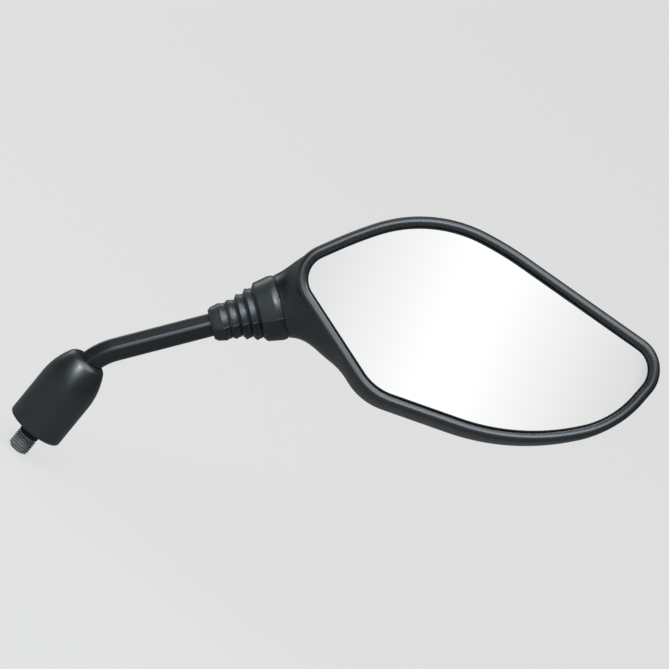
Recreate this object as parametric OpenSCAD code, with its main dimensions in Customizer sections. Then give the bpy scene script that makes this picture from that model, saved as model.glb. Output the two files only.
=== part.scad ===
// Handlebar mirror: stud, hex adapter, bent stem, ball joint under a bellows, and a shell with a convex glass.
// The origin is the shoulder of the adapter, on the stud's axis, and the stud points down.

/* [Stud and adapter] */
// Diameter of the mounting stud
stud_d = 10; // [8:1:12]
// Length of the stud below the shoulder
stud_len = 17; // [12:1:24]
// Chamfer at the stud's end
stud_chamfer = 1; // [0.5:0.1:1.5]
// Width across flats of the adapter and the lock nut
hex_af = 17; // [16:0.5:19]
// Height of the adapter
adapter_h = 16; // [14:1:17]
// Chamfer on the corners of the adapter and the lock nut
hex_chamfer = 0.8; // [0.4:0.1:1.2]
// Thickness of the lock washer
lock_washer_h = 2.2; // [1.6:0.1:2.6]
// Height of the lock nut
lock_nut_h = 6; // [5:0.5:7]

/* [Stem] */
// Diameter of the stem's threaded foot
foot_d = 10; // [8:0.5:10]
// Depth of the foot in the adapter
foot_depth = 11; // [8:0.5:12]
// Diameter of the bar over its rounded edges
bar_d = 10.9; // [10.7:0.1:11.2]
// Width of the bar across its flats
bar_af = 10.2; // [10:0.1:10.6]
// Height at which the bend starts
bend_z = 28.9; // [28:0.1:30]
// Radius of the bend's centre line
bend_r = 30; // [28:1:32]
// Angle of the bend
bend_angle = 38.7; // [34:0.1:40]
// Length of the straight from the bend to the ball's centre
run_len = 87; // [80:0.5:110]
// Turn of the stem about the stud's axis
stem_turn = 20; // [-30:1:60]

/* [Ball joint] */
// Diameter of the ball
ball_d = 16; // [15:0.5:17]
// Diameter of the stem's neck behind the ball
ball_neck_d = 7; // [6:0.5:7]
// Thickness of the nylon cups
cup_wall = 1.2; // [1:0.1:1.5]
// Half angle that a cup covers
cup_angle = 44; // [38:1:46]
// Half angle that a metal seat covers
seat_angle = 50; // [48:1:50]
// Thickness of the bracket and of the clamp plate
plate_t = 2.6; // [2:0.1:3]
// Thickness of the metal behind the seats
seat_wall = 1.8; // [1.5:0.1:2]
// Distance of the clamp screws beyond the ball
clamp_x = 13.5; // [13:0.5:15]
// Half distance between the clamp screws
clamp_y = 7; // [6.5:0.5:7.5]
// Thread diameter of the clamp screws
clamp_screw_d = 4; // [3:0.5:4]

/* [Lower boot] */
// Outer diameter of the lower boot
boot_d = 26.8; // [26:0.1:29]
// How far the boot hangs below the shoulder
boot_drop = 4; // [2:0.5:5]
// Height of the boot's top above the shoulder
boot_top = 36.8; // [36:0.1:38.5]
// Height at which the boot starts to round in
boot_round_z = 18.8; // [17:0.1:20]
// Radius of the boot's shoulder curve
boot_round_r = 33.6; // [31:0.1:36]
// Wall of the boot
boot_wall = 2; // [1.6:0.1:2.2]
// Radius of the boot's lower edge
boot_edge_r = 1.1; // [0.5:0.1:1.4]

/* [Bellows] */
// Length of the bellows
bellows_len = 32.6; // [32:0.1:34]
// Radius of the small collar
small_collar_r = 8.7; // [8.4:0.1:9.2]
// Length of the small collar
small_collar_len = 5.3; // [4.5:0.1:6]
// Radius of the large collar at the housing
large_collar_r = 15; // [14.8:0.1:15.6]
// Length of the large collar
large_collar_len = 9.7; // [9:0.1:11]
// Number of ribs between the collars
rib_count = 3; // [2:1:4]
// Drop in radius from rib to rib
rib_step = 1.5; // [1.2:0.05:1.5]
// Depth of the groove behind each rib
groove_depth = 0.45; // [0.3:0.05:0.8]
// Wall of the bellows
bellows_wall = 1.6; // [1.2:0.1:1.8]

/* [Glass] */
// Width of the glass between the centres of its upper left and right tip corners
glass_w = 163.5; // [150:0.5:175]
// Height of the glass between its upper and lower outline vertices
glass_h = 100; // [94:0.5:108]
// Thickness of the glass
glass_t = 2; // [1.8:0.1:3]
// Radius of the convex face
glass_r = 1200; // [1000:50:1600]
// Height of the glass's crown above the ball's centre
glass_z = 20.2; // [19.5:0.1:21]
// Thickness of the adhesive pad
pad_t = 0.8; // [0.6:0.1:1]
// Thickness of the carrier's skin
carrier_t = 2; // [1.6:0.1:2.2]
// Width of the gasket
gasket_w = 0.9; // [0.7:0.1:1.2]

/* [Head shell] */
// Angle between the neck's axis and the glass's width
neck_angle = 14.3; // [10:0.1:20]
// Turn of the head about the neck's axis
head_roll = 65.2; // [50:0.1:80]
// Height of the bead's crest above the ball's centre
crest_z = 21; // [20.5:0.1:22]
// Width of the bead round the glass
bead_w = 4.7; // [4:0.1:5]
// Height of the bead's round
bead_h = 3; // [2.5:0.1:3.5]
// Margin of the shell's widest outline over the glass
shell_margin = 6.5; // [6.4:0.1:8]
// Depth of the shell from the crest to the back
shell_depth = 40; // [38:0.5:44]
// Share of the outline that is left at the flat of the back
back_share = 0.49; // [0.4:0.01:0.6]
// Wall of the shell
shell_wall = 2.45; // [2:0.05:2.6]
// Distance from the ball's centre to the neck's face
neck_x = 10; // [9.5:0.1:11]
// Radius of the neck's face
neck_r = 14.4; // [14:0.1:14.8]
// Length of the spigot that the bellows sits on
spigot_len = 4; // [3:0.5:4.5]

/* [Screws] */
// Thread diameter of the self-tapping screws
tap_d = 3.5; // [3:0.5:4]
// Length of the self-tapping screws
tap_len = 7; // [6:0.5:7]
// Depth of the head recesses
recess_depth = 1.2; // [0.8:0.1:1.4]

/* [Hidden] */
$fn = 64;

// Clearances: running for what turns, loose for what only passes, soft for rubber
running = 0.05;
loose = 0.3;
soft = 0.35;

// Heights of the stack on the stud's axis
nut_z = adapter_h + lock_washer_h;
foot_gap = 1;

// Centre of the ball in the stem's plane, and the taper behind it by distance from the ball
bend_end = [bend_r*(1 - cos(bend_angle)), 0, bend_z + bend_r*sin(bend_angle)];
ball_pos = bend_end + run_len*[sin(bend_angle), 0, cos(bend_angle)];
neck_taper_x = [18, 10.5];

// Radii of the ball joint, from the ball outwards
ball_r = ball_d/2;
cup_in = ball_r + running;
cup_out = cup_in + cup_wall;
seat_r = cup_out + running;
seat_z = seat_r*cos(seat_angle);
pad_r = seat_r*sin(seat_angle) + 1.2;
seat_back = seat_r + seat_wall;
screw_head_h = 2.6;
spring_washer_h = 1.1;
clamp_nut_h = 3.2;
bracket_screw_at = [[28, 3], [24, -14], [36, -8]];
bracket_outline = [
    [-pad_r, pad_r, pad_r*0.8], [17, 11.5, 5], [31, 8.5, 6], [43, -4, 6], [40, -15, 6], [24, -21, 6],
    [-pad_r, -pad_r, pad_r*0.8]
];

// Places in the glass's plane, from the ball's centre, as drawn for one size; another size stretches them
drawn_size = [163.5, 100];
drawn_corner = [-3, -62.5];
stretch = [glass_w/drawn_size.x, glass_h/drawn_size.y];
function placed(p) = [
    drawn_corner.x + (p.x - drawn_corner.x)*stretch.x, drawn_corner.y + (p.y - drawn_corner.y)*stretch.y
];

// Outline of the glass: corners with their radii, which shrink where it is squeezed, so that no two arcs meet
glass_outline = [
    for (p = [
        [-3, 14.5, 11], [24.5, 26.5, 39], [58, 37.5, 60], [90, 20.5, 160],
        [160.5, -29.5, 11], [139, -54, 42], [96.5, -62.5, 100], [32, -39.5, 25]
    ])
        concat(placed(p), p[2]*min(stretch)*pow(min(stretch)/max(stretch), 2))
];
glass_mid = placed([78.75, -13]);
pocket_margin = gasket_w + 0.3;
foot_z = 11;
carrier_screw_at = [for (p = [[48, 12], [122, -24], [112, -48], [44, -32]]) placed(p)];

// Levels of the shell
bead_z = crest_z - bead_h;
ledge_z = foot_z + 3;
wide_z = crest_z - 8;
back_z = crest_z - shell_depth;
lean = [-0.26, -0.18];
arc_steps = 5;
neck_steps = 40;
back_step = 15;

// Posts and ribs inside the shell
carrier_post_r = 4;
bracket_post_r = 3.5;
post_draft = 1;
rib_r = 1.3;
rib_h = 8;

// Spigot of the neck, inside the bellows
spigot_r = neck_r - 1.8;
spigot_wall = 2;

// Stations of the neck: distance from the neck's face, half height, half depth, shifts in height and depth
neck_stations = [
    [0, neck_r, neck_r, 0, 0], [4, neck_r + 1.4, neck_r + 1.2, -0.3, -0.6],
    [7.5, neck_r + 3.3, neck_r + 2, -1.2, -1], [10, neck_r + 4.9, neck_r + 2.4, -2.1, -1.2],
    [13.5, neck_r + 8.2, neck_r + 3.2, -4.1, -2], [30, neck_r + 7.9, neck_r + 1.8, -4, -3.4],
    [44, neck_r + 2, neck_r - 4, -3.4, -3.2]
];

// Points of an outline whose corners [x, y, r] are rounded by arcs
function rounded(corners, steps = arc_steps) = [
    for (i = [0:len(corners) - 1])
        let (
            n = len(corners),
            a = corners[(i + n - 1) % n], b = corners[i], c = corners[(i + 1) % n],
            u = unit([a.x - b.x, a.y - b.y]), v = unit([c.x - b.x, c.y - b.y]),
            half = acos(u*v)/2, side = sign(u.y*v.x - u.x*v.y),
            centre = [b.x, b.y] + unit(u + v)*b[2]/sin(half),
            from = atan2(b.y + u.y*b[2]/tan(half) - centre.y, b.x + u.x*b[2]/tan(half) - centre.x),
            sweep = side*(180 - 2*half)
        )
        for (k = [0:steps]) centre + b[2]*[cos(from + sweep*k/steps), sin(from + sweep*k/steps)]
];
function unit(v) = v/norm(v);

// The same corners with every edge moved out by d; the corners run clockwise
function grown(corners, d) = [
    for (i = [0:len(corners) - 1])
        let (
            n = len(corners),
            a = corners[(i + n - 1) % n], b = corners[i], c = corners[(i + 1) % n],
            p = unit([a.y - b.y, b.x - a.x]), q = unit([b.y - c.y, c.x - b.x]),
            shift = d*(p + q)/(1 + p*q)
        )
        [b.x + shift.x, b.y + shift.y, b[2] + d]
];

// One level of the shell: the outline grown by d, scaled about its middle, leaning below the bead
function level(d, share, z, slope = lean) = [
    for (p = rounded(grown(glass_outline, d)))
        let (q = glass_mid + (p - glass_mid)*share + slope*max(0, bead_z - z)) [q.x, q.y, z]
];

// Levels of one face of the shell's back, from the flat of the back up to the widest outline
function back_levels(d, z0, z1) = [
    for (a = [90:-back_step:0]) level(d, back_share + (1 - back_share)*cos(a), z1 - (z1 - z0)*sin(a))
];
function bead_levels(from, to) = [
    for (a = [from:sign(to - from)*22.5:to])
        level(pocket_margin + bead_w/2*(1 + cos(a)), 1, bead_z + bead_h*sin(a))
];

module loft(levels) {
    n = len(levels[0]);
    last = len(levels) - 1;
    polyhedron(
        points = [for (l = levels) for (p = l) p],
        faces = concat(
            [[for (j = [n - 1:-1:0]) j]],
            [for (i = [0:last - 1]) for (j = [0:n - 1]) [i*n + j, i*n + (j + 1) % n, (i + 1)*n + (j + 1) % n]],
            [for (i = [0:last - 1]) for (j = [0:n - 1]) [i*n + j, (i + 1)*n + (j + 1) % n, (i + 1)*n + j]],
            [[for (j = [0:n - 1]) last*n + j]]
        ),
        convexity = 6
    );
}

// Frames: the stem's plane, the ball with X along the neck, and the glass with Z out of its face
module in_stem_plane() {
    rotate([0, 0, stem_turn]) children();
}
module at_ball() {
    in_stem_plane() translate(ball_pos) rotate([0, bend_angle - 90, 0]) children();
}
module at_neck() {
    at_ball() rotate([head_roll, 0, 0]) children();
}
module at_glass() {
    at_neck() rotate([0, 0, -neck_angle]) children();
}

// Hexagon with chamfered corners
module hex_block(h) {
    r = hex_af/2/cos(30);
    intersection() {
        cylinder(r = r, h = h, $fn = 6);
        union() {
            cylinder(r1 = r - hex_chamfer, r2 = r, h = hex_chamfer/2);
            translate([0, 0, hex_chamfer/2]) cylinder(r = r, h = h - hex_chamfer);
            translate([0, 0, h - hex_chamfer/2]) cylinder(r1 = r, r2 = r - hex_chamfer, h = hex_chamfer/2);
        }
    }
}

module hex_adapter() color("silver") {
    difference() {
        hex_block(adapter_h);
        translate([0, 0, adapter_h - foot_depth - foot_gap])
            cylinder(d = foot_d + 2*running, h = foot_depth + foot_gap + 1);
    }
    translate([0, 0, -stud_len + stud_chamfer]) cylinder(d = stud_d, h = stud_len - stud_chamfer);
    translate([0, 0, -stud_len])
        cylinder(d1 = stud_d - 2*stud_chamfer, d2 = stud_d, h = stud_chamfer);
}

module lock_washer() color("dimgray")
    translate([0, 0, adapter_h]) difference() {
        cylinder(d = hex_af, h = lock_washer_h);
        translate([0, 0, -1]) cylinder(d = foot_d + 2*loose, h = lock_washer_h + 2);
        rotate([20, 0, 0]) translate([0, -0.6, -hex_af/2]) cube([hex_af, 1.2, hex_af*1.5]);
    }

module lock_nut() color("silver")
    translate([0, 0, nut_z]) difference() {
        hex_block(lock_nut_h);
        translate([0, 0, -1]) cylinder(d = foot_d + 2*running, h = lock_nut_h + 2);
    }

// Bar section: a circle with six flats
module bar_section() {
    intersection() {
        circle(d = bar_d);
        circle(d = bar_af/cos(30), $fn = 6);
    }
}

// The bend in the XZ plane, which starts upwards at the origin and leans towards +X
module bend() translate([bend_r, 0, 0]) rotate([90, 0, 180]) rotate_extrude(angle = bend_angle, $fn = 180)
    translate([bend_r, 0]) children();

// The foot runs a little way up into the bar; the bar is drawn from the end of its bend, both ways
module stem() color([0.13, 0.15, 0.16]) in_stem_plane() {
    translate([0, 0, adapter_h - foot_depth]) cylinder(d = foot_d, h = bend_z + 1 - adapter_h + foot_depth);
    translate(bend_end) rotate([0, bend_angle, 0]) {
        mirror([0, 0, 1]) bend() bar_section();
        linear_extrude(run_len - neck_taper_x[0]) bar_section();
        translate([0, 0, run_len - neck_taper_x[0]])
            cylinder(d1 = bar_af, d2 = ball_neck_d, h = neck_taper_x[0] - neck_taper_x[1]);
        translate([0, 0, run_len - neck_taper_x[1]]) cylinder(d = ball_neck_d, h = neck_taper_x[1]);
        translate([0, 0, run_len]) sphere(d = ball_d);
    }
}

// Half profile of the lower boot; inset moves it inwards by the wall
module boot_profile(inset = 0) {
    r = boot_d/2;
    top = boot_top + (inset > 0 ? -boot_wall : 0);
    edge = inset > 0 ? 0.01 : boot_edge_r;
    bottom = inset > 0 ? -boot_drop - 1 : -boot_drop;
    translate([0, bottom]) square([r - edge, boot_round_z - bottom]);
    translate([0, bottom + edge]) square([r - inset, boot_round_z - bottom - edge]);
    if (inset == 0) translate([r - edge, bottom + edge]) circle(r = edge);
    intersection() {
        translate([r - boot_round_r, boot_round_z]) circle(r = boot_round_r - inset);
        translate([0, boot_round_z - 0.1]) square([r, top - boot_round_z + 0.1]);
    }
}

// The room that the bent bar takes, grown by a clearance
module bar_room(clear) in_stem_plane() {
    r = bar_d/2 + clear;
    cylinder(r = r, h = bend_z);
    translate([0, 0, bend_z]) bend() circle(r = r);
}

module base_boot() color([0.14, 0.16, 0.17]) difference() {
    rotate_extrude() boot_profile();
    rotate_extrude() difference() {
        boot_profile(boot_wall);
        translate([boot_d/2 - boot_wall, -boot_drop - 2]) square([boot_wall + 1, boot_top]);
    }
    bar_room(soft);
}

// Corners of the bellows' outer profile moved in by d, as distance from the ball and radius
rib_pitch = (bellows_len - large_collar_len - small_collar_len)/(rib_count + 1);
bellows_x = neck_x + soft;
bellows_end = neck_x + bellows_len;
collar_back_r = large_collar_r - 1.4;
function crest_x(i) = neck_x + large_collar_len + rib_pitch*i;
function crest_r(i) = i > rib_count ? small_collar_r : collar_back_r - rib_step*i;
function bellows_corners(d) = concat(
    [
        [bellows_x, 0, 0.01], [bellows_x, large_collar_r - 0.7 - d, 0.9],
        [bellows_x + 2.2, large_collar_r - d, 5], [crest_x(0), collar_back_r - d, 0.9]
    ],
    [
        for (i = [1:rib_count + 1]) for (crest = [0, 1])
            [crest_x(i) - rib_pitch*0.42*(1 - crest), crest_r(i) - groove_depth*(1 - crest) - d, crest ? 0.9 : 0.7]
    ],
    [
        [bellows_end - 1.4, small_collar_r - 0.9 - d, 1.4],
        [bellows_end, bar_d/2 + 1.2 - min(d, 0.5), 0.5], [bellows_end, 0, 0.01]
    ]
);

module bellows_boot() color([0.2, 0.22, 0.235]) at_ball() rotate([0, -90, 0]) rotate_extrude() difference() {
    polygon([for (p = rounded(bellows_corners(0), 4)) [p.y, p.x]]);
    intersection() {
        polygon([for (p = rounded(bellows_corners(bellows_wall), 4)) [p.y, p.x]]);
        translate([0, neck_x]) square([large_collar_r, crest_x(rib_count) - neck_x]);
    }
    translate([0, neck_x - 1]) square([spigot_r + soft, spigot_len + 2.5]);
    square([bar_d/2 + soft, bellows_end + 1]);
}

// Ball cups: a cap of a spherical shell about Z, with a grease hole
module ball_cup() rotate_extrude() intersection() {
    difference() {
        circle(r = cup_out);
        circle(r = cup_in);
    }
    polygon([[1.5, 0], [1.5, ball_d], [ball_d*tan(cup_angle), ball_d], [1.5, 1.5/tan(cup_angle)]]);
}

module ball_cup_rear() color("ivory") at_neck() mirror([0, 0, 1]) ball_cup();
module ball_cup_front() color("ivory") at_neck() ball_cup();

module slab(corners, t) linear_extrude(t) polygon(rounded(corners));

// Metal seat over a cup: a boss with draft, hollowed by a sphere
module seat_boss() translate([0, 0, seat_z]) cylinder(r1 = pad_r, r2 = pad_r - 2, h = seat_back - seat_z);

module ball_bracket() color("gray") at_neck() mirror([0, 0, 1]) difference() {
    union() {
        seat_boss();
        translate([0, 0, seat_z]) slab(bracket_outline, plate_t);
    }
    sphere(r = seat_r);
    for (y = [-clamp_y, clamp_y]) translate([clamp_x, y, 0]) cylinder(d = clamp_screw_d + 2*loose, h = 30);
    for (p = bracket_screw_at) translate([p.x, p.y, 0]) cylinder(d = tap_d + 2*loose, h = 30);
}

module clamp_plate() color("gray") at_neck() difference() {
    union() {
        seat_boss();
        translate([0, 0, seat_z]) slab([
            [-pad_r, pad_r, pad_r*0.8], [clamp_x + 5, clamp_y + 5, 4],
            [clamp_x + 5, -clamp_y - 5, 4], [-pad_r, -pad_r, pad_r*0.8]
        ], plate_t);
    }
    sphere(r = seat_r);
    for (y = [-clamp_y, clamp_y]) translate([clamp_x, y, 0]) cylinder(d = clamp_screw_d + 2*loose, h = 30);
}

// Pan-head screw with a cross recess, head upwards, seated at Z zero
module screw(d, len) {
    translate([0, 0, -len]) cylinder(d = d, h = len);
    difference() {
        union() {
            cylinder(d = 2*d, h = screw_head_h*0.6);
            translate([0, 0, screw_head_h*0.6]) cylinder(d1 = 2*d, d2 = 1.4*d, h = screw_head_h*0.4);
        }
        for (a = [0, 90]) rotate([0, 0, a])
            translate([-d*0.55, -0.4, screw_head_h - recess_depth]) cube([d*1.1, 0.8, recess_depth + 1]);
    }
}

module at_clamp_screws() {
    for (y = [-clamp_y, clamp_y]) translate([clamp_x, y, 0]) children();
}

module clamp_screws() color("silver") at_neck() at_clamp_screws()
    translate([0, 0, seat_z + plate_t + spring_washer_h])
        screw(clamp_screw_d, 2*(seat_z + plate_t) + spring_washer_h + clamp_nut_h + 0.6);

module spring_washers() color("dimgray") at_neck() at_clamp_screws()
    translate([0, 0, seat_z + plate_t]) difference() {
        cylinder(d = 2*clamp_screw_d - 0.4, h = spring_washer_h);
        translate([0, 0, -1]) cylinder(d = clamp_screw_d + 2*running, h = spring_washer_h + 2);
        translate([0, -0.3, -1]) cube([clamp_screw_d*2, 0.6, spring_washer_h + 2]);
    }

module clamp_nuts() color("silver") at_neck() at_clamp_screws()
    translate([0, 0, -seat_z - plate_t - clamp_nut_h]) difference() {
        cylinder(d = 1.9*clamp_screw_d, h = clamp_nut_h, $fn = 6);
        translate([0, 0, -1]) cylinder(d = clamp_screw_d + 2*running, h = clamp_nut_h + 2);
    }

module bracket_screws() color("silver") at_neck()
    for (p = bracket_screw_at) translate([p.x, p.y, -seat_z]) screw(tap_d, tap_len);

// Neck through its stations, moved in by d; where it is cut out it starts early and stops short of its end
function neck_ring(i, d) = let (s = neck_stations[i], last = len(neck_stations) - 1) [
    for (k = [0:neck_steps - 1]) let (a = 360*k/neck_steps) [
        s[0] - neck_x + (d == 0 ? 0 : i == 0 ? -1 : i == last ? d : 0),
        s[3] + (s[1] + d)*cos(a), s[4] - (s[2] + d)*sin(a)
    ]
];
module neck_body(d) rotate([0, 0, neck_angle]) loft([for (i = [0:len(neck_stations) - 1]) neck_ring(i, d)]);

module spigot_tube(r, x0, x1) rotate([0, 0, neck_angle]) translate([x0, 0, 0]) rotate([0, 90, 0])
    cylinder(r = r, h = x1 - x0);

// Solid that ends in the middle of the shell's wall
module shell_middle() loft(concat(
    back_levels(shell_margin - shell_wall/2, back_z + shell_wall/2, wide_z),
    [level((shell_margin + pocket_margin)/2, 1, bead_z)]
));

// Post with draft and a hole for a self-tapping screw, from the back up to z
module screw_post(p, z, r) translate([p.x, p.y, back_z]) difference() {
    hull() {
        cylinder(r = r + post_draft, h = 1, $fn = 32);
        translate([0, 0, z - back_z - 1]) cylinder(r = r, h = 1, $fn = 32);
    }
    translate([0, 0, z - back_z - tap_len - 1]) cylinder(d = tap_d + loose, h = tap_len + 2, $fn = 32);
}

// Rib on the inside of the back between two places
module back_rib(a, b) translate([0, 0, back_z]) hull() for (p = [a, b])
    translate([p.x, p.y, 0]) cylinder(r1 = rib_r, r2 = rib_r - 0.4, h = rib_h, $fn = 16);

module head_shell() color([0.09, 0.11, 0.125]) at_glass() {
    difference() {
        union() {
            loft(concat(
                back_levels(shell_margin, back_z, wide_z), bead_levels(0, 180),
                [level(pocket_margin, 1, ledge_z, [0, 0])],
                [
                    for (a = [0:back_step:90]) level(
                        shell_margin - shell_wall, back_share + (1 - back_share)*cos(a),
                        wide_z - 1 - (wide_z - 1 - back_z - shell_wall)*sin(a)
                    )
                ]
            ));
            difference() {
                neck_body(0);
                shell_middle();
            }
        }
        neck_body(-shell_wall);
    }
    difference() {
        spigot_tube(spigot_r, -neck_x - spigot_len, -neck_x + 1.2);
        spigot_tube(spigot_r - spigot_wall, -neck_x - spigot_len - 1, -neck_x + 4);
    }
    intersection() {
        shell_middle();
        union() {
            for (p = carrier_screw_at) screw_post(p, foot_z, carrier_post_r);
            rotate([0, 0, neck_angle]) for (p = bracket_screw_at) screw_post(p, -seat_z - plate_t, bracket_post_r);
            for (i = [0:3]) back_rib(carrier_screw_at[i], carrier_screw_at[(i + 1) % 4]);
        }
    }
}

// A layer that follows the convex face, from depth a to depth b below the crown
module dome(a, b) translate([glass_mid.x, glass_mid.y, glass_z - glass_r]) rotate([0, -90, -90])
    rotate([0, 0, -6]) rotate_extrude(angle = 12, $fn = 1440) intersection() {
        difference() {
            circle(r = glass_r - a, $fn = 1440);
            circle(r = glass_r - b, $fn = 1440);
        }
        translate([glass_r - b - 20, -glass_w/2]) square([b - a + 40, glass_w]);
    }

// Block with the glass's outline, grown by d
module glass_block(d) linear_extrude(2*crest_z) polygon(rounded(grown(glass_outline, d)));

module glass_carrier() color([0.16, 0.16, 0.16]) at_glass() difference() {
    union() {
        intersection() {
            glass_block(-1.5);
            dome(glass_t + pad_t, glass_t + pad_t + carrier_t);
        }
        intersection() {
            dome(glass_t + pad_t, glass_t + pad_t + 12);
            union() for (p = carrier_screw_at) translate([p.x, p.y, foot_z]) cylinder(r = 5, h = 9);
        }
    }
    for (p = carrier_screw_at) translate([p.x, p.y, foot_z - 1]) {
        cylinder(d = tap_d + 2*loose, h = 12);
        translate([0, 0, 3]) cylinder(d = 2*tap_d + 2*loose, h = 12);
    }
}

module carrier_screws() color("silver") at_glass()
    for (p = carrier_screw_at) translate([p.x, p.y, foot_z + 2]) screw(tap_d, tap_len);

module adhesive_pad() color([0.3, 0.3, 0.32]) at_glass() intersection() {
    glass_block(-2.5);
    dome(glass_t, glass_t + pad_t);
}

module mirror_glass() color([0.9, 0.92, 0.94]) at_glass() intersection() {
    glass_block(0);
    dome(0, glass_t);
}

module glass_gasket() color([0.05, 0.05, 0.05]) at_glass() intersection() {
    difference() {
        glass_block(0.15 + gasket_w);
        translate([0, 0, -1]) glass_block(0.15);
    }
    dome(-0.3, glass_t + 0.4);
}

hex_adapter();
lock_washer();
lock_nut();
stem();
base_boot();
bellows_boot();
ball_cup_rear();
ball_cup_front();
ball_bracket();
clamp_plate();
clamp_screws();
spring_washers();
clamp_nuts();
bracket_screws();
head_shell();
glass_carrier();
carrier_screws();
adhesive_pad();
mirror_glass();
glass_gasket();
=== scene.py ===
import math
import bmesh
import bpy
import numpy as np
from mathutils import Matrix, Vector
from mathutils.bvhtree import BVHTree


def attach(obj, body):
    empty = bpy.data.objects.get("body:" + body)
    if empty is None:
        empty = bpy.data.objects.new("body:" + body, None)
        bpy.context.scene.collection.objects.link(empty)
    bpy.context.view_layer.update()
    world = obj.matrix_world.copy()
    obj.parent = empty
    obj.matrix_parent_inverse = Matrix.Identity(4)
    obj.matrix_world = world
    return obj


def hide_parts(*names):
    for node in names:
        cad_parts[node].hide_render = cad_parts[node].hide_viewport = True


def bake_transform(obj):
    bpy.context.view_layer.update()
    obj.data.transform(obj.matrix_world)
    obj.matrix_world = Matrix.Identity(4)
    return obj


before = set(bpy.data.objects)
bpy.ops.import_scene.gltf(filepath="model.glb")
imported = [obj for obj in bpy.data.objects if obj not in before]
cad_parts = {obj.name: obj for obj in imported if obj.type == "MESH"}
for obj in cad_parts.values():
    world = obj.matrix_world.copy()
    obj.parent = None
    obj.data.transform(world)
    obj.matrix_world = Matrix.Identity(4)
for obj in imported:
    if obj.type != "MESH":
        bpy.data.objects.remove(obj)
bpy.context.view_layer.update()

mm = 0.001
scene = bpy.context.scene
print("frame loaded:", len(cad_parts), "nodes")

# the view: picture's right, up and back directions, from azimuth 0, 15 degrees up, rolled
view = {"elevation": 15.0, "roll": 39.5, "target": (0.0780, 0.0120, 0.11537), "distance": 5.0, "width": 0.30105,
        "sensor": 36.0}
tilt, roll = math.radians(view["elevation"]), math.radians(view["roll"])
plainUp = Vector((0, math.sin(tilt), math.cos(tilt)))
viewBack = Vector((0, -math.cos(tilt), math.sin(tilt)))
viewRight = Vector((1, 0, 0)) * math.cos(roll) + plainUp * math.sin(roll)
viewUp = Vector((-1, 0, 0)) * math.sin(roll) + plainUp * math.cos(roll)
target = Vector(view["target"])


def linked(name, data):
    made = bpy.data.objects.new(name, data)
    scene.collection.objects.link(made)
    return made


def aimed(right, up, back, place):
    return Matrix.Translation(place) @ Matrix((right, up, back)).transposed().to_4x4()


cameraData = bpy.data.cameras.new("camera")
cameraData.sensor_width = view["sensor"]
cameraData.lens = view["sensor"] * view["distance"] / view["width"]
camera = linked("camera", cameraData)
camera.matrix_world = aimed(viewRight, viewUp, viewBack, target + viewBack * view["distance"])
scene.camera = camera

# frames of the part, in millimetres: the stem's plane, the ball with X along the neck, the glass with Z out of it
bar = {"turn": 20.0, "bendZ": 28.9, "bendR": 30.0, "bendAngle": 38.7, "run": 87.0, "footZ": 5.0, "footR": 5.0,
       "acrossFlats": 10.2, "acrossRound": 10.9, "sharpness": 26.0, "taper": (18.0, 10.5), "neckR": 3.5, "ballR": 8.0}
head = {"roll": 65.2, "neckAngle": 14.3, "neckX": 10.0}


def turned(axis, degrees):
    return Matrix.Rotation(math.radians(degrees), 4, axis)


bend = math.radians(bar["bendAngle"])
bendEnd = Vector((bar["bendR"] * (1 - math.cos(bend)), 0, bar["bendZ"] + bar["bendR"] * math.sin(bend)))
ballPlace = bendEnd + Vector((math.sin(bend), 0, math.cos(bend))) * bar["run"]
atStud = Matrix.Identity(4)
atStem = turned("Z", bar["turn"])
atBall = atStem @ Matrix.Translation(ballPlace) @ turned("Y", bar["bendAngle"] - 90)
atNeck = atBall @ turned("X", head["roll"])
atGlass = atNeck @ turned("Z", -head["neckAngle"])


# shader helpers

class Wire:
    # a socket that takes part in Python arithmetic by adding Math nodes
    def __init__(self, look, socket):
        self.look = look
        self.socket = socket

    def joined(self, operation, first, second):
        return self.look.node("ShaderNodeMath", {"operation": operation}, {0: first, 1: second})

    def __add__(self, other): return self.joined("ADD", self, other)
    def __radd__(self, other): return self.joined("ADD", other, self)
    def __sub__(self, other): return self.joined("SUBTRACT", self, other)
    def __rsub__(self, other): return self.joined("SUBTRACT", other, self)
    def __mul__(self, other): return self.joined("MULTIPLY", self, other)
    def __rmul__(self, other): return self.joined("MULTIPLY", other, self)
    def __truediv__(self, other): return self.joined("DIVIDE", self, other)
    def __rtruediv__(self, other): return self.joined("DIVIDE", other, self)
    def __pow__(self, other): return self.joined("POWER", self, other)


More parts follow.
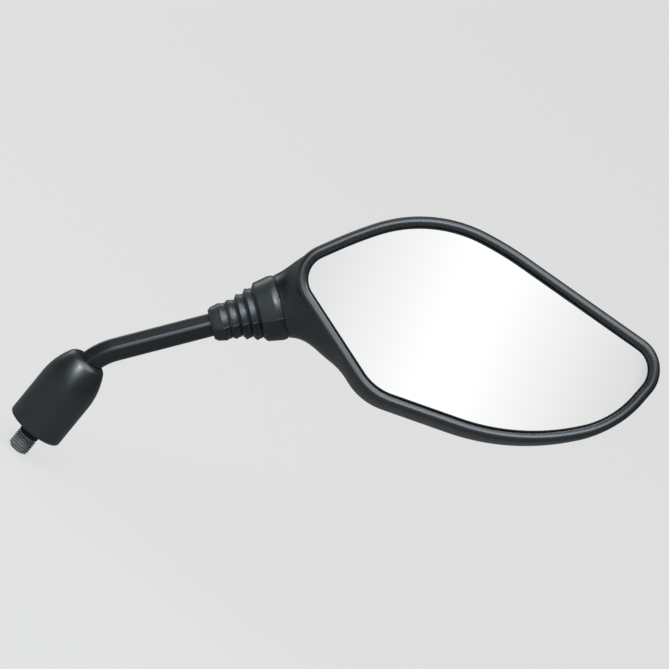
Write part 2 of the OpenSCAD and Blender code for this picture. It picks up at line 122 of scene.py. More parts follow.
class Look:
    def __init__(self, name, holder=None):
        self.material = holder or bpy.data.materials.new(name)
        self.material.use_nodes = True
        self.tree = self.material.node_tree
        self.tree.nodes.clear()

    def node(self, kind, settings=None, values=None, output=0):
        made = self.tree.nodes.new(kind)
        for key, value in (settings or {}).items():
            if key == "stops":
                for at, colour in value[:-2]:
                    made.color_ramp.elements.new(at)
                for element, (at, colour) in zip(made.color_ramp.elements, value):
                    element.position = at
                    element.color = (*colour, 1) if hasattr(colour, "__len__") else (colour, colour, colour, 1)
            else:
                setattr(made, key, value)
        for key, value in (values or {}).items():
            if isinstance(value, Wire):
                self.tree.links.new(value.socket, made.inputs[key])
            else:
                made.inputs[key].default_value = value
        return Wire(self, made.outputs[output]) if made.outputs else None

    def place(self, scale=(1, 1, 1)):
        coordinates = self.node("ShaderNodeTexCoord", output="Object")
        return self.node("ShaderNodeMapping", None, {"Vector": coordinates, "Scale": scale})

    def onPiece(self, scale=(1, 1, 1)):
        uv = self.node("ShaderNodeUVMap", {"uv_map": "along"})
        return self.node("ShaderNodeMapping", None, {"Vector": uv, "Scale": scale})

    def noise(self, vector, scale, detail=2.0, roughness=0.5):
        values = {"Vector": vector, "Scale": scale, "Detail": detail, "Roughness": roughness}
        return self.node("ShaderNodeTexNoise", None, values)

    def ramp(self, wire, stops):
        return self.node("ShaderNodeValToRGB", {"stops": stops}, {"Fac": wire})

    def mixed(self, factor, first, second):
        # the colour sockets of a Mix node are its inputs 6 and 7 and its output 2
        low, high = (colour if isinstance(colour, Wire) else (*colour, 1) for colour in (first, second))
        return self.node("ShaderNodeMix", {"data_type": "RGBA"}, {0: factor, 6: low, 7: high}, output=2)

    def bump(self, height, strength, distance):
        return self.node("ShaderNodeBump", None, {"Height": height, "Strength": strength, "Distance": distance})

    def finish(self, colour, roughness, relief=None, specular=0.5, metal=0.0):
        values = {"Base Color": colour, "Roughness": roughness, "Specular IOR Level": specular, "Metallic": metal}
        if relief:
            values["Normal"] = relief
        shader = self.node("ShaderNodeBsdfPrincipled", None, values)
        self.node("ShaderNodeOutputMaterial", None, {"Surface": shader})
        return self.material


dust = {"scale": 900.0, "share": 0.79, "soft": 0.02, "colour": (0.30, 0.31, 0.31)}


def dusted(look, at, colour, amount):
    # rare pale specks: only the highest peaks of a fine noise
    share = dust["share"]
    stops = [(0.0, 0.0), (share, 0.0), (share + dust["soft"], 1.0), (1.0, 1.0)]
    peaks = look.ramp(look.noise(at, dust["scale"], 1.0), stops)
    return look.mixed(peaks * amount, colour, dust["colour"])


def mouldedPlastic(name, dark, light, grain, rough, specular, dustShare=0.0):
    look = Look(name)
    at = look.place()
    fine = look.noise(at, grain, 3.0, 0.6)
    broad = look.noise(at, 38.0, 3.0, 0.55)
    colour = look.mixed(broad, dark, light)
    if dustShare:
        colour = dusted(look, at, colour, dustShare)
    roughness = rough - 0.06 + 0.07 * fine + 0.06 * broad
    relief = look.bump(fine + 0.3 * look.noise(at, grain * 0.35, 2.0), 0.32, 0.00006)
    return look.finish(colour, roughness, relief, specular=specular)


def barPaint(settings):
    # drawn bar under satin paint: fine lines run along the bar
    look = Look("barPaint")
    lines = look.noise(look.onPiece((1.0, 0.012, 1.0)), settings["lines"], 3.0, 0.65)
    at = look.place()
    fine = look.noise(at, 2200.0, 2.0)
    broad = look.noise(at, 60.0, 3.0)
    colour = dusted(look, at, look.mixed(broad, settings["dark"], settings["light"]), 0.3)
    roughness = settings["rough"] + 0.10 * lines - 0.05 + 0.04 * fine
    relief = look.bump(lines + 0.25 * fine, 0.55, 0.00016)
    return look.finish(colour, roughness, relief, specular=settings["specular"])


def bellowsRubber(settings):
    # the half that faces down is darkened with painted shade, split at the parting lines, and the parting line between
    # the halves is a fine ridge; U runs round the piece
    look = Look("bellowsRubber")
    at = look.place()
    around = look.node("ShaderNodeSeparateXYZ", None, {"Vector": look.onPiece()})
    fine = look.noise(at, 1500.0, 3.0, 0.6)
    broad = look.noise(at, 38.0, 3.0, 0.55)
    first, last = (a / 360 for a in settings["seams"])
    soft, thin = settings["seamBlend"], settings["seamWidth"]
    clearOfPaintedShade = look.ramp(around, [(0.0, 1.0), (first - soft, 1.0), (first + soft, 0.0),
                               (last - soft, 0.0), (last + soft, 1.0), (1.0, 1.0)])
    ridge = look.ramp(around, [(0.0, 0.0), (first - thin, 0.0), (first, 1.0), (first + thin, 0.0),
                               (last - thin, 0.0), (last, 1.0), (last + thin, 0.0), (1.0, 0.0)])
    # painted shade: the half that faces down takes the dark colour, and the other half keeps the rubber's own tones
    colour = look.mixed(clearOfPaintedShade, settings["under"], look.mixed(broad, settings["dark"], settings["light"]))
    colour = dusted(look, at, colour, 0.25)
    roughness = settings["rough"] + 0.05 * (1 - clearOfPaintedShade) - 0.06 + 0.07 * fine + 0.06 * broad
    relief = look.bump(0.25 * fine + ridge, 0.6, settings["seamHeight"])
    return look.finish(colour, roughness, relief, specular=settings["specular"])


def platedSteel(name, dark, light, rough, metal=1.0):
    look = Look(name)
    at = look.place()
    blotch = look.noise(at, 240.0, 4.0, 0.6)
    scratch = look.noise(look.place((1.0, 1.0, 14.0)), 700.0, 2.0)
    colour = look.mixed(blotch, dark, light)
    roughness = rough - 0.08 + 0.12 * blotch + 0.08 * scratch
    relief = look.bump(scratch, 0.25, 0.00003)
    return look.finish(colour, roughness, relief, metal=metal)


def silverGlass():
    look = Look("silverGlass")
    at = look.place()
    haze = look.noise(at, 26.0, 3.0, 0.5)
    colour = look.mixed(haze, (0.955, 0.960, 0.962), (0.970, 0.974, 0.976))
    return look.finish(colour, 0.012 + 0.02 * haze, metal=1.0)


finishes = {
    "shell_plastic": mouldedPlastic("housingPlastic", (0.0028, 0.0044, 0.0054), (0.0052, 0.0074, 0.0086),
                                    2600.0, 0.34, 0.90),
    # the bead is the housing's plastic, its colour a little lighter as painted sheen for the rim's highlight band, with
    # a rougher, stronger gloss
    "rim": mouldedPlastic("rimPlasticPaintedSheen", (0.0040, 0.0060, 0.0070), (0.0066, 0.0092, 0.0104), 2600.0, 0.45, 1.00),
    "boot": mouldedPlastic("bootRubber", (0.0080, 0.0108, 0.0122), (0.0135, 0.0168, 0.0186), 1700.0, 0.34, 0.85, 0.25),
    "bellows": bellowsRubber({"dark": (0.0200, 0.0245, 0.0275), "light": (0.0290, 0.0335, 0.0365),
                              # the darker colour below is painted shade on the half that faces down
                              "under": (0.0062, 0.0082, 0.0092), "rough": 0.33, "specular": 0.70,
                              "seams": (92.8, 272.8), "seamBlend": 0.0008, "seamWidth": 0.0028, "seamHeight": 0.00022}),
    "gasket": mouldedPlastic("gasketRubber", (0.004, 0.005, 0.005), (0.007, 0.008, 0.008), 1500.0, 0.6, 0.25),
    "nylon": mouldedPlastic("nylonCup", (0.60, 0.57, 0.49), (0.68, 0.65, 0.57), 1200.0, 0.42, 0.5),
    "carrier": mouldedPlastic("carrierPlastic", (0.018, 0.018, 0.018), (0.03, 0.03, 0.03), 1200.0, 0.55, 0.4),
    "foam": mouldedPlastic("foamTape", (0.07, 0.07, 0.075), (0.11, 0.11, 0.115), 900.0, 0.85, 0.3),
    "bar": barPaint({"dark": (0.0030, 0.0050, 0.0058), "light": (0.0062, 0.0090, 0.0100), "rough": 0.34,
                     "lines": 1300.0, "specular": 0.65}),
    "plate": platedSteel("zincPlate", (0.40, 0.41, 0.42), (0.55, 0.56, 0.56), 0.34),
    "thread": platedSteel("studPlate", (0.22, 0.24, 0.245), (0.33, 0.35, 0.36), 0.40, 0.35),
    # the shoulder just under the boot is coloured nearly black, far darker than the thread below it
    "darkShoulder": platedSteel("studShoulder", (0.006, 0.008, 0.009), (0.012, 0.014, 0.015), 0.5, 0.3),
    "mirror": silverGlass(),
}
print("finishes made")


# mesh helpers

def plainMesh(name, points, faces):
    mesh = bpy.data.meshes.new(name)
    mesh.from_pydata([tuple(p) for p in points], [], faces)
    return mesh


def facedOut(mesh, added=None, merged=False):
    # normals outward, after another mesh is added or the doubles are merged
    work = bmesh.new()
    work.from_mesh(mesh)
    if added:
        work.from_mesh(added)
    if merged:
        bmesh.ops.remove_doubles(work, verts=work.verts, dist=1e-7)
    bmesh.ops.recalc_face_normals(work, faces=work.faces)
    work.to_mesh(mesh)
    work.free()


def pieceFrom(name, points, faces, place, finish, body, sharp=40.0):
    mesh = plainMesh(name, points, faces)
    mesh.transform(Matrix.Scale(mm, 4) @ place)
    facedOut(mesh, merged=True)
    return settled(name, mesh, finish, body, sharp)


def settled(name, mesh, finish, body, sharp=40.0):
    mesh.materials.clear()
    mesh.materials.append(finishes[finish])
    mesh.polygons.foreach_set("use_smooth", [True] * len(mesh.polygons))
    mesh.polygons.foreach_set("material_index", [0] * len(mesh.polygons))
    mesh.set_sharp_from_angle(angle=math.radians(sharp))
    made = linked(name, mesh)
    if body:
        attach(made, body)
    return made


def bridged(rings, count, capped=False):
    # quads between rings of equal count, with flat caps at both ends where they are asked for
    faces = [(i * count + j, i * count + (j + 1) % count, (i + 1) * count + (j + 1) % count, (i + 1) * count + j)
             for i in range(len(rings) - 1) for j in range(count)]
    if capped:
        faces.append(tuple(range(count))[::-1])
        faces.append(tuple(range((len(rings) - 1) * count, len(rings) * count)))
    return np.concatenate([np.asarray(r, float) for r in rings]), faces


def turnAngles(count):
    return np.arange(count) * 2 * math.pi / count


def ringOf(angles, radius, z=0.0):
    return np.stack([radius * np.cos(angles), radius * np.sin(angles), np.full(len(angles), z)], axis=1)


def circleRing(radius, z, count=96, shift=0.0):
    return ringOf(turnAngles(count), radius, z) + np.array([shift, 0.0, 0.0])


def roundedPath(corners, steps):
    # a line through corners (x, y, radius) with arcs at the inner ones, open at both ends
    path = [corners[0][:2]]
    for a, b, c in zip(corners, corners[1:], corners[2:]):
        path += list(arcAt(a, b, c, steps))
    path.append(corners[-1][:2])
    return np.array(path, float)


def arcAt(a, b, c, steps):
    a2, b2, c2 = (np.array(p[:2], float) for p in (a, b, c))
    u, v = (a2 - b2) / np.linalg.norm(a2 - b2), (c2 - b2) / np.linalg.norm(c2 - b2)
    half = math.acos(max(-1, min(1, u @ v))) / 2
    middle = b2 + (u + v) / np.linalg.norm(u + v) * b[2] / math.sin(half)
    start = b2 + u * b[2] / math.tan(half) - middle
    sweep = math.copysign(math.pi - 2 * half, u[1] * v[0] - u[0] * v[1])
    first = math.atan2(start[1], start[0])
    for k in range(steps + 1):
        angle = first + sweep * k / steps
        yield middle + b[2] * np.array([math.cos(angle), math.sin(angle)])


# Geometry Nodes helpers

class Tree:
    # a Geometry Nodes tree with named inputs
    def __init__(self, name, inputs):
        self.group = bpy.data.node_groups.new(name, "GeometryNodeTree")
        self.group.interface.new_socket("Geometry", in_out="INPUT", socket_type="NodeSocketGeometry")
        self.group.interface.new_socket("Geometry", in_out="OUTPUT", socket_type="NodeSocketGeometry")
        self.identifiers = {}
        for label, (kind, value) in inputs.items():
            socket = self.group.interface.new_socket(label, in_out="INPUT", socket_type="NodeSocket" + kind)
            socket.default_value = value
            self.identifiers[label] = socket.identifier
        self.start = self.group.nodes.new("NodeGroupInput")

    def asked(self, label):
        return self.start.outputs[label]

    def add(self, kind, settings=None, links=None, output=0):
        made = self.group.nodes.new(kind)
        for key, value in (settings or {}).items():
            setattr(made, key, value)
        for key, value in (links or {}).items():
            if isinstance(value, bpy.types.NodeSocket):
                self.group.links.new(value, made.inputs[key])
            else:
                made.inputs[key].default_value = value
        return made.outputs[output]

    def sums(self, operation, first, second):
        return self.add("ShaderNodeMath", {"operation": operation}, {0: first, 1: second})

    def made(self, geometry, finish):
        solid = self.add("GeometryNodeRealizeInstances", None, {0: geometry})
        painted = self.add("GeometryNodeSetMaterial", None, {"Geometry": solid, "Material": finishes[finish]})
        end = self.group.nodes.new("NodeGroupOutput")
        self.group.links.new(painted, end.inputs[0])


def evaluated(holder):
    # the plain mesh that an object's modifiers make; the object itself goes
    bpy.context.view_layer.update()
    mesh = bpy.data.meshes.new_from_object(holder.evaluated_get(bpy.context.evaluated_depsgraph_get()))
    holder.modifiers.clear()
    bpy.data.objects.remove(holder)
    return mesh


def meshOf(tree, values):
    # runs a tree on an empty mesh
    holder = linked("treeHolder", bpy.data.meshes.new("treeHolder"))
    modifier = holder.modifiers.new("tree", "NODES")
    modifier.node_group = tree.group
    for label, value in values.items():
        modifier[tree.identifiers[label]] = value
    return evaluated(holder)


# stud and hex adapter

stud = {"root": 4.45, "length": 17.0, "pitch": 1.25, "ridge": 0.52, "runIn": 0.55, "runOut": 0.7, "steps": 72,
        "shoulderR": 4.9, "shoulder": 8.6, "hexAcross": 17.0, "hexHeight": 16.0, "hexChamfer": 0.8, "innerR": 4.0,
        "boreR": 5.05, "boreDepth": 12.0}


def threadTree():
    tree = Tree("threadTree", {"Start radius": ("Float", 0.0045), "Pitch": ("Float", 0.00125), "Turns": ("Float", 10.0),
                               "Ridge": ("Float", 0.0006), "Steps": ("Int", 64), "Bottom": ("Float", -0.017)})
    height = tree.sums("MULTIPLY", tree.asked("Pitch"), tree.asked("Turns"))
    steps, turns, radius = (tree.asked(label) for label in ("Steps", "Turns", "Start radius"))
    line = tree.add("GeometryNodeCurveSpiral", None, {"Resolution": steps, "Rotations": turns, "Height": height,
                                                      "Start Radius": radius, "End Radius": radius})
    line = tree.add("GeometryNodeSetCurveNormal", {"mode": "Z_UP"}, {0: line})
    share = tree.add("GeometryNodeSplineParameter")
    into = tree.add("ShaderNodeMapRange", None, {0: share, 1: 0.0, 2: 0.07, 3: 0.35, 4: 1.0})
    out = tree.add("ShaderNodeMapRange", None, {0: share, 1: 0.94, 2: 1.0, 3: 1.0, 4: 0.3})
    ridge = tree.add("GeometryNodeCurvePrimitiveCircle", {"mode": "RADIUS"},
                     {"Resolution": 3, "Radius": tree.asked("Ridge")})
    ridge = tree.add("GeometryNodeTransform", None, {"Geometry": ridge, "Rotation": (0, 0, math.pi)})
    body = tree.add("GeometryNodeCurveToMesh", None, {"Curve": line, "Profile Curve": ridge, "Fill Caps": True,
                                                      "Scale": tree.sums("MULTIPLY", into, out)})
    place = tree.add("ShaderNodeCombineXYZ", None, {"Z": tree.asked("Bottom")})
    body = tree.add("GeometryNodeTransform", None, {"Geometry": body, "Translation": place})
    tree.made(body, "thread")
    return tree


def makeStud():
    turns = (stud["length"] - stud["shoulder"] - stud["runOut"]) / stud["pitch"]
    count = stud["steps"]
    low, root = -stud["length"], stud["root"]
    thread = meshOf(threadTree(), {"Start radius": (root + 0.02) * mm, "Pitch": stud["pitch"] * mm, "Turns": turns,
                                   "Ridge": stud["ridge"] * mm, "Steps": count, "Bottom": (stud["runIn"] + low) * mm})
    core = [(0.01, low), (root - 0.75, low), (root, low + 0.75), (root, -stud["shoulder"] + 0.2)]
    points, faces = bridged([circleRing(r, z, count) for r, z in core], count, True)
    whole = plainMesh("stud_thread", points * mm, faces)
    facedOut(whole, thread)
    made = settled("stud_thread", whole, "thread", "adapter", 30.0)
    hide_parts("hex_adapter")
    edge, low = stud["shoulderR"], -stud["shoulder"]
    collar = ((0.01, low), (edge - 0.35, low), (edge, low + 0.35), (edge, -0.3), (edge - 0.2, 0.0), (0.01, 0.0))
    points, faces = bridged([circleRing(r, z, count) for r, z in collar], count, True)
    pieceFrom("stud_shoulder", points, faces, atStud, "darkShoulder", "adapter", 30.0)


def hexRadius(across, angles):
    return across / 2 / np.cos((angles % (math.pi / 3)) - math.pi / 6)


def hexRing(across, z, chamferR, count=96):
    angles = turnAngles(count)
    return ringOf(angles, np.minimum(hexRadius(across, angles), chamferR), z)


def makeAdapter():
    across, chamfer, boreR, top = (stud[key] for key in ("hexAcross", "hexChamfer", "boreR", "hexHeight"))
    corner = across / 2 / math.cos(math.pi / 6)
    eased = (0.0, 0.25, 0.5, 0.75, 1.0)
    rings = [circleRing(stud["innerR"], 0.0)]
    rings += [hexRing(across, t * chamfer / 2, corner - chamfer * (1 - t)) for t in eased]
    rings += [hexRing(across, top - t * chamfer / 2, corner - chamfer * (1 - t)) for t in eased[::-1]]
    rings += [circleRing(r, z) for r, z in ((boreR + 0.5, top), (boreR, top - 0.5), (boreR, top - stud["boreDepth"]))]
    points, faces = bridged(rings, 96, True)
    made = pieceFrom("hex_adapter_body", points, faces, atStud, "plate", "adapter", 25.0)
    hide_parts("hex_adapter")


makeStud()
makeAdapter()
print("stud and adapter made")


# lower boot

boot = {"radius": 13.38, "drop": 4.0, "top": 36.8, "roundZ": 18.8, "roundR": 33.6, "wall": 2.0, "edge": 1.1,
        "gap": 0.3, "fillet": 4.4, "filletEnd": 82.0, "lip": 4.6}


def barShift(z):
    # how far the bar's centre line has moved sideways at a height
    if z <= bar["bendZ"]:
        return 0.0
    return bar["bendR"] - math.sqrt(bar["bendR"] ** 2 - (z - bar["bendZ"]) ** 2)


def makeBoot():
    outerR, edge, top, wall, fillet = (boot[key] for key in ("radius", "edge", "top", "wall", "fillet"))
    roundZ, roundR, low = boot["roundZ"], boot["roundR"], -boot["drop"]
    centre = outerR - roundR

    def onArc(x, z, radius, angles):
        return [(x + radius * math.cos(a), z + radius * math.sin(a)) for a in angles]

    # the skin from the lower edge up to the bar's hole, then the hole, then down inside
    outside = onArc(outerR - edge, low + edge, edge, np.radians(np.arange(-90, 1, 15)))
    outside += [(outerR, z) for z in np.linspace(low + edge + 1.5, roundZ - 1, 9)]
    rise = top - fillet - roundZ
    across = math.sqrt((roundR - fillet) ** 2 - rise ** 2)
    last = math.atan2(rise, across)
    outside += onArc(centre, roundZ, roundR, np.linspace(0, last, 26))
    outside += onArc(centre + across, top - fillet, fillet, np.linspace(last, math.radians(boot["filletEnd"]), 14)[1:])
    rings = [circleRing(r, z) for r, z in outside]
    holeR = bar["acrossRound"] / 2 + boot["gap"]
    for wider, below in ((0.25, 0.08), (0.06, 0.25), (0.0, 0.6), (0.0, 2.4), (0.0, 4.0)):
        rings.append(circleRing(holeR + wider, top - below, shift=barShift(top - below)))
    first = math.asin((top - boot["lip"] - roundZ) / (roundR - wall))
    inside = onArc(centre, roundZ, roundR - wall, np.linspace(first, 0, 12))
    inside += [(outerR - wall, z) for z in (roundZ - 4, 6.0, 0.0, low + 0.6)] + [(outerR - wall + 0.5, low + 0.05)]
    rings += [circleRing(r, z) for r, z in inside]
    rings.append(rings[0])
    points, faces = bridged(rings, 96)
    made = pieceFrom("base_boot_skin", points, faces, atStem, "boot", "stem", 50.0)
    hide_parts("base_boot")


pip = {"angle": -62.0, "z": 3.4, "radius": 0.42, "height": 0.32, "count": 20}


def makePip():
    # small moulding pip low on the boot's front
    dome = ((0.02, 1.0), (0.4, 0.93), (0.72, 0.72), (0.92, 0.4), (1.0, 0.0), (1.05, -0.6), (0.02, -0.6))
    rings = [circleRing(pip["radius"] * r, pip["height"] * h, pip["count"]) for r, h in dome]
    points, faces = bridged(rings, pip["count"], True)
    face = turned("Z", pip["angle"]) @ Matrix.Translation((boot["radius"] - 0.02, 0, pip["z"])) @ turned("Y", 90)
    pieceFrom("boot_pip", points, faces, face, "boot", "stem", 60.0)


makeBoot()
makePip()
print("boot made")


# stem

def barRadius(angles):
    # a circle cut by six flats, with the corners eased
    flat = hexRadius(bar["acrossFlats"], angles)
    hard = bar["acrossRound"] / 2
    sharpness = bar["sharpness"]
    return -np.log(np.exp(-sharpness * flat) + np.exp(-sharpness * hard)) / sharpness


def makeStem():
    count = 120
    angles = turnAngles(count)
    barRing, roundRing = ringOf(angles, barRadius(angles)), ringOf(angles, 1.0)
    # a matrix and a ring for each station: foot, bend, straight run, taper, ball
    stations = []
    footR, footZ, bendR, ballR = (bar[key] for key in ("footR", "footZ", "bendR", "ballR"))
    for r, z in ((0.01, footZ), (footR - 0.8, footZ), (footR, footZ + 0.8), (footR, 15.0), (footR, 25.0),
                 (footR, bar["bendZ"] - 0.5)):
        stations.append((Matrix.Translation((0, 0, z)), roundRing * r))
    stations.append((Matrix.Translation((0, 0, bar["bendZ"])), barRing * 0.97))
    for a in np.linspace(0.3, bar["bendAngle"], 26):
        t = math.radians(a)
        place = Vector((bendR * (1 - math.cos(t)), 0, bar["bendZ"] + bendR * math.sin(t)))
        stations.append((Matrix.Translation(place) @ turned("Y", a), barRing))
    runFrame = Matrix.Translation(bendEnd) @ turned("Y", bar["bendAngle"])
    taperStart, taperEnd = (bar["run"] - x for x in bar["taper"])

    def onRun(z, ring):
        stations.append((runFrame @ Matrix.Translation((0, 0, z)), ring))

    for z in np.linspace(6, taperStart - 0.2, 10):
        onRun(z, barRing)
    for k in np.linspace(0, 1, 6):
        # the taper starts with a small step
        ring = barRing * (1 - k) + roundRing * bar["neckR"] * k
        onRun(taperStart + (taperEnd - taperStart) * k, ring if k else ring * 0.985)
    for a in np.linspace(math.pi - math.asin(bar["neckR"] / ballR), 0.02, 24):
        onRun(bar["run"] + ballR * math.cos(a), roundRing * ballR * math.sin(a))
    rings = []
    for matrix, ring in stations:
        m = np.array(matrix)
        rings.append(ring @ m[:3, :3].T + m[:3, 3])
    points, faces = bridged(rings, count, True)
    made = pieceFrom("stem_bar", points, faces, atStem, "bar", "stem", 32.0)
    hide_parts("stem")
    layAlong(made, rings, count)


def layUv(made, places, across=1.0):
    # UV "along" from a pair for each vertex: U is a share of a turn, times a length, and V is in metres
    uv = made.data.uv_layers.new(name="along")
    for face in made.data.polygons:
        corners = [places[v] for v in face.vertices]
        wrap = max(u for u, x in corners) - min(u for u, x in corners) > 0.5
        for l, (u, x) in zip(face.loop_indices, corners):
            uv.data[l].uv = ((u + 1 if wrap and u < 0.5 else u) * across, x)


def layAlong(made, rings, count):
    # each vertex is found again among the rings' points, to learn its ring and its place on it
    middles = np.array([r.mean(0) for r in rings])
    travel = np.concatenate([[0], np.cumsum(np.linalg.norm(np.diff(middles, axis=0), axis=1))]) * mm
    index = {}
    for k, p in enumerate((np.concatenate(rings) * mm) @ np.array(atStem.to_3x3()).T):
        index.setdefault(tuple(np.round(p, 6)), k)
    ids = [index.get(tuple(np.round(tuple(v.co), 6)), 0) for v in made.data.vertices]
    layUv(made, [(k % count / count, travel[k // count]) for k in ids], bar["acrossRound"] * math.pi * mm)


makeStem()
print("stem made")


# bellows, in three lengths, one for each joint of the ball

bellows = {"length": 32.6, "smallR": 8.7, "smallLength": 5.3, "largeR": 15.0, "largeLength": 9.7,
           "ribs": 3, "ribStep": 1.5, "crestR": 0.4, "wall": 1.6, "gap": 0.1,
           "cuts": (18.4, 14.0), "bendFrom": 31.0, "count": 240, "spacing": (0.6, 1.2),
           # the lining: how close it comes to the bar, where it ends, and the length and radius of its mouth
           "liningGap": 0.35, "liningEnd": 3.0, "mouth": (5.5, 12.95),
           # from one crest on to the next: share of the pitch, depth under the smaller crest, radius
           "rib": ((0.72, 0.32, 0.2), (0.65, 0.95, 0.1), (0.57, 0.42, 0.25), (0.34, 0.46, 1.6))}


def crestPlace(i):
    pitch = (bellows["length"] - bellows["largeLength"] - bellows["smallLength"]) / (bellows["ribs"] + 1)
    return head["neckX"] + bellows["largeLength"] + pitch * i, pitch


def bellowsProfile(wall):
    neckX = head["neckX"]
    large, small = bellows["largeR"], bellows["smallR"]
    end = neckX + bellows["length"]
    crestR = [large - 1.4 - bellows["ribStep"] * i for i in range(bellows["ribs"] + 1)] + [small]
    corners = [(neckX + bellows["gap"], large - 2.2 - wall, 0.3), (neckX + bellows["gap"], large - 0.5 - wall, 0.45),
               (neckX + 2.2, large - wall, 5.0), (crestPlace(0)[0], crestR[0] - wall, 0.7)]
    for i in range(1, bellows["ribs"] + 2):
        crestX, pitch = crestPlace(i)
        corners += [(crestX - pitch * share, crestR[i] - depth - wall, radius)
                    for share, depth, radius in bellows["rib"]]
        corners.append((crestX, crestR[i] - wall, bellows["crestR"]))
    corners += [(end - 1.4, small - 0.9 - wall, 1.4), (end, bar["acrossRound"] / 2 + 1.2 - min(wall, 0.5), 0.5),
                (end, bar["acrossRound"] / 2 + 0.3, 0.1)]
    return corners


def divided(path, spacing):
    # a path with its long stretches split evenly
    made = [path[0]]
    for a, b in zip(path, path[1:]):
        parts = max(1, math.ceil(np.linalg.norm(b - a) / spacing))
        made += [a + (b - a) * k / parts for k in range(1, parts + 1)]
    return np.array(made)


def makeBellows():
    start, end = head["neckX"] + bellows["gap"], head["neckX"] + bellows["length"]
    outer = divided(roundedPath(bellowsProfile(0.0), 6), bellows["spacing"][0])
    inner = divided(roundedPath(bellowsProfile(bellows["wall"]), 3), bellows["spacing"][1])
    inner[:, 1] = np.maximum(inner[:, 1], bar["acrossRound"] / 2 + bellows["liningGap"])
    inner = inner[inner[:, 0] < end - bellows["liningEnd"]]
    mouthLength, mouthR = bellows["mouth"]
    inner[:, 1] = np.where(inner[:, 0] < head["neckX"] + mouthLength, np.maximum(inner[:, 1], mouthR), inner[:, 1])
    waist, collar = bellows["cuts"]
    count = bellows["count"]
    # name, near end, far end, where the bending starts, and the two bodies
    for name, low, high, bendFrom, bodies in (("bellows_ribs", waist, end, bellows["bendFrom"], ("stem", "cup_rear")),
                                              ("bellows_waist", collar, waist, waist, ("cup_rear", "cup_front")),
                                              ("bellows_collar", start, collar, collar, ("cup_front", "head"))):
        skin, lining = cutAt(outer, low, high), cutAt(inner, low, high)
        rings = [circleRing(r, x, count) for x, r in skin] + [circleRing(r, x, count) for x, r in lining[::-1]]
        rings.append(rings[0])
        points, faces = bridged(rings, count)
        made = pieceFrom(name, points, faces, atBall @ turned("Y", -90), "bellows", None, 62.0)
        layRound(made)
        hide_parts("bellows_boot")
        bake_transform(made)


def layRound(made):
    # round the ball's X axis, and along it
    back = atBall.inverted()
    points = [back @ (v.co / mm) for v in made.data.vertices]
    layUv(made, [(math.atan2(p.y, p.z) / (2 * math.pi) % 1, p.x * mm) for p in points])


def cutAt(path, low, high):
    # the part of a profile between two places, with points put right on both
    points = []
    for a, b in zip(path, path[1:]):
        if low <= a[0] <= high:
            points.append(tuple(a))
        crossed = [x for x in (low, high) if (a[0] - x) * (b[0] - x) < 0]
        points += [(x, a[1] + (b[1] - a[1]) * (x - a[0]) / (b[0] - a[0]))
                   for x in sorted(crossed, key=lambda x: abs(x - a[0]))]
    if low <= path[-1][0] <= high:
        points.append(tuple(path[-1]))
    return np.array(points)


makeBellows()
print("bellows made")


# head shell: a loft with a raised bead, melted together with the neck

glass = {"corners": ((-3, 14.5, 11), (24.5, 26.5, 190), (58, 37.5, 60), (90, 20.5, 160),
                     (160.5, -29.5, 11), (139, -54, 42), (96.5, -62.5, 100), (32, -39.5, 25)),
         "middle": (78.75, -13.0), "crown": 20.2, "radius": 1200.0, "thickness": 2.0, "gap": 0.15}
shell = {"crest": 21.0, "beadWidth": 4.65, "beadHeight": 3.0, "beadSkin": 0.06, "margin": 5.2, "depth": 40.0,
         "backShare": 0.49, "wideDrop": 8.0, "lean": (-0.26, -0.18), "wall": 2.3, "voxel": 0.8, "fewer": 0.5,
         "pocket": 0.55, "floorZ": 15.2, "floorBand": (14.0, 15.9),
         # filling and melting the corner: reach and strength, and what keeps its shape
         "fill": 8.5, "fillShare": 0.25, "normalRounds": 30, "melt": 12.0, "meltStep": 0.6, "meltRounds": 150,
         "keptAbove": 12.0, "rimFade": 2.5, "mouthKept": 1.0, "mouthFade": 5.0}
# the neck's sections: distance from its mouth, half height, half depth, and how far they lie up and out
neckStations = ((0, 14.4, 14.4, 0, 0), (4, 15.8, 15.6, -0.3, -0.6), (7.5, 17.7, 16.4, -1.2, -1.0),
                (10, 19.3, 16.8, -2.1, -1.2), (13.5, 22.6, 17.6, -4.1, -2.0), (30, 22.3, 16.2, -4.0, -3.4),
                (44, 16.4, 10.4, -3.4, -3.2))
glassCorners = np.array(glass["corners"], float)
glassMiddle = np.array(glass["middle"])
stretchParts = [int(np.linalg.norm(b[:2] - a[:2]) / 3)
                for a, b in zip(glassCorners, np.roll(glassCorners, -1, axis=0))]


def grown(corners, d):
    # the outline's corners with every edge moved out by d; they run clockwise
    made = []
    for i, b in enumerate(corners):
        a, c = corners[i - 1], corners[(i + 1) % len(corners)]
        p = np.array([a[1] - b[1], b[0] - a[0]])
        q = np.array([b[1] - c[1], c[0] - b[0]])
        p, q = p / np.linalg.norm(p), q / np.linalg.norm(q)
        shift = d * (p + q) / (1 + p @ q)
        made.append((b[0] + shift[0], b[1] + shift[1], b[2] + d))
    return made


def outline(d, steps=20):
    # arcs at the corners, with points about 3 mm apart along the straight stretches
    corners = grown(glassCorners, d)
    arcs = [list(arcAt(corners[i - 1], b, corners[(i + 1) % len(corners)], steps)) for i, b in enumerate(corners)]
    points = []
    for i, arc in enumerate(arcs):
        following = (i + 1) % len(arcs)
        step = (arcs[following][0] - arc[-1]) / (1 + stretchParts[i])
        points += arc + [arc[-1] + step * (k + 1) for k in range(stretchParts[i])]
    return np.array(points)


def level(d, share, z, slope=shell["lean"]):
    flat = glassMiddle + (outline(d) - glassMiddle) * share
    flat = flat + np.array(slope) * max(0.0, shell["crest"] - shell["beadHeight"] - z)
    return np.column_stack([flat, np.full(len(flat), z)])


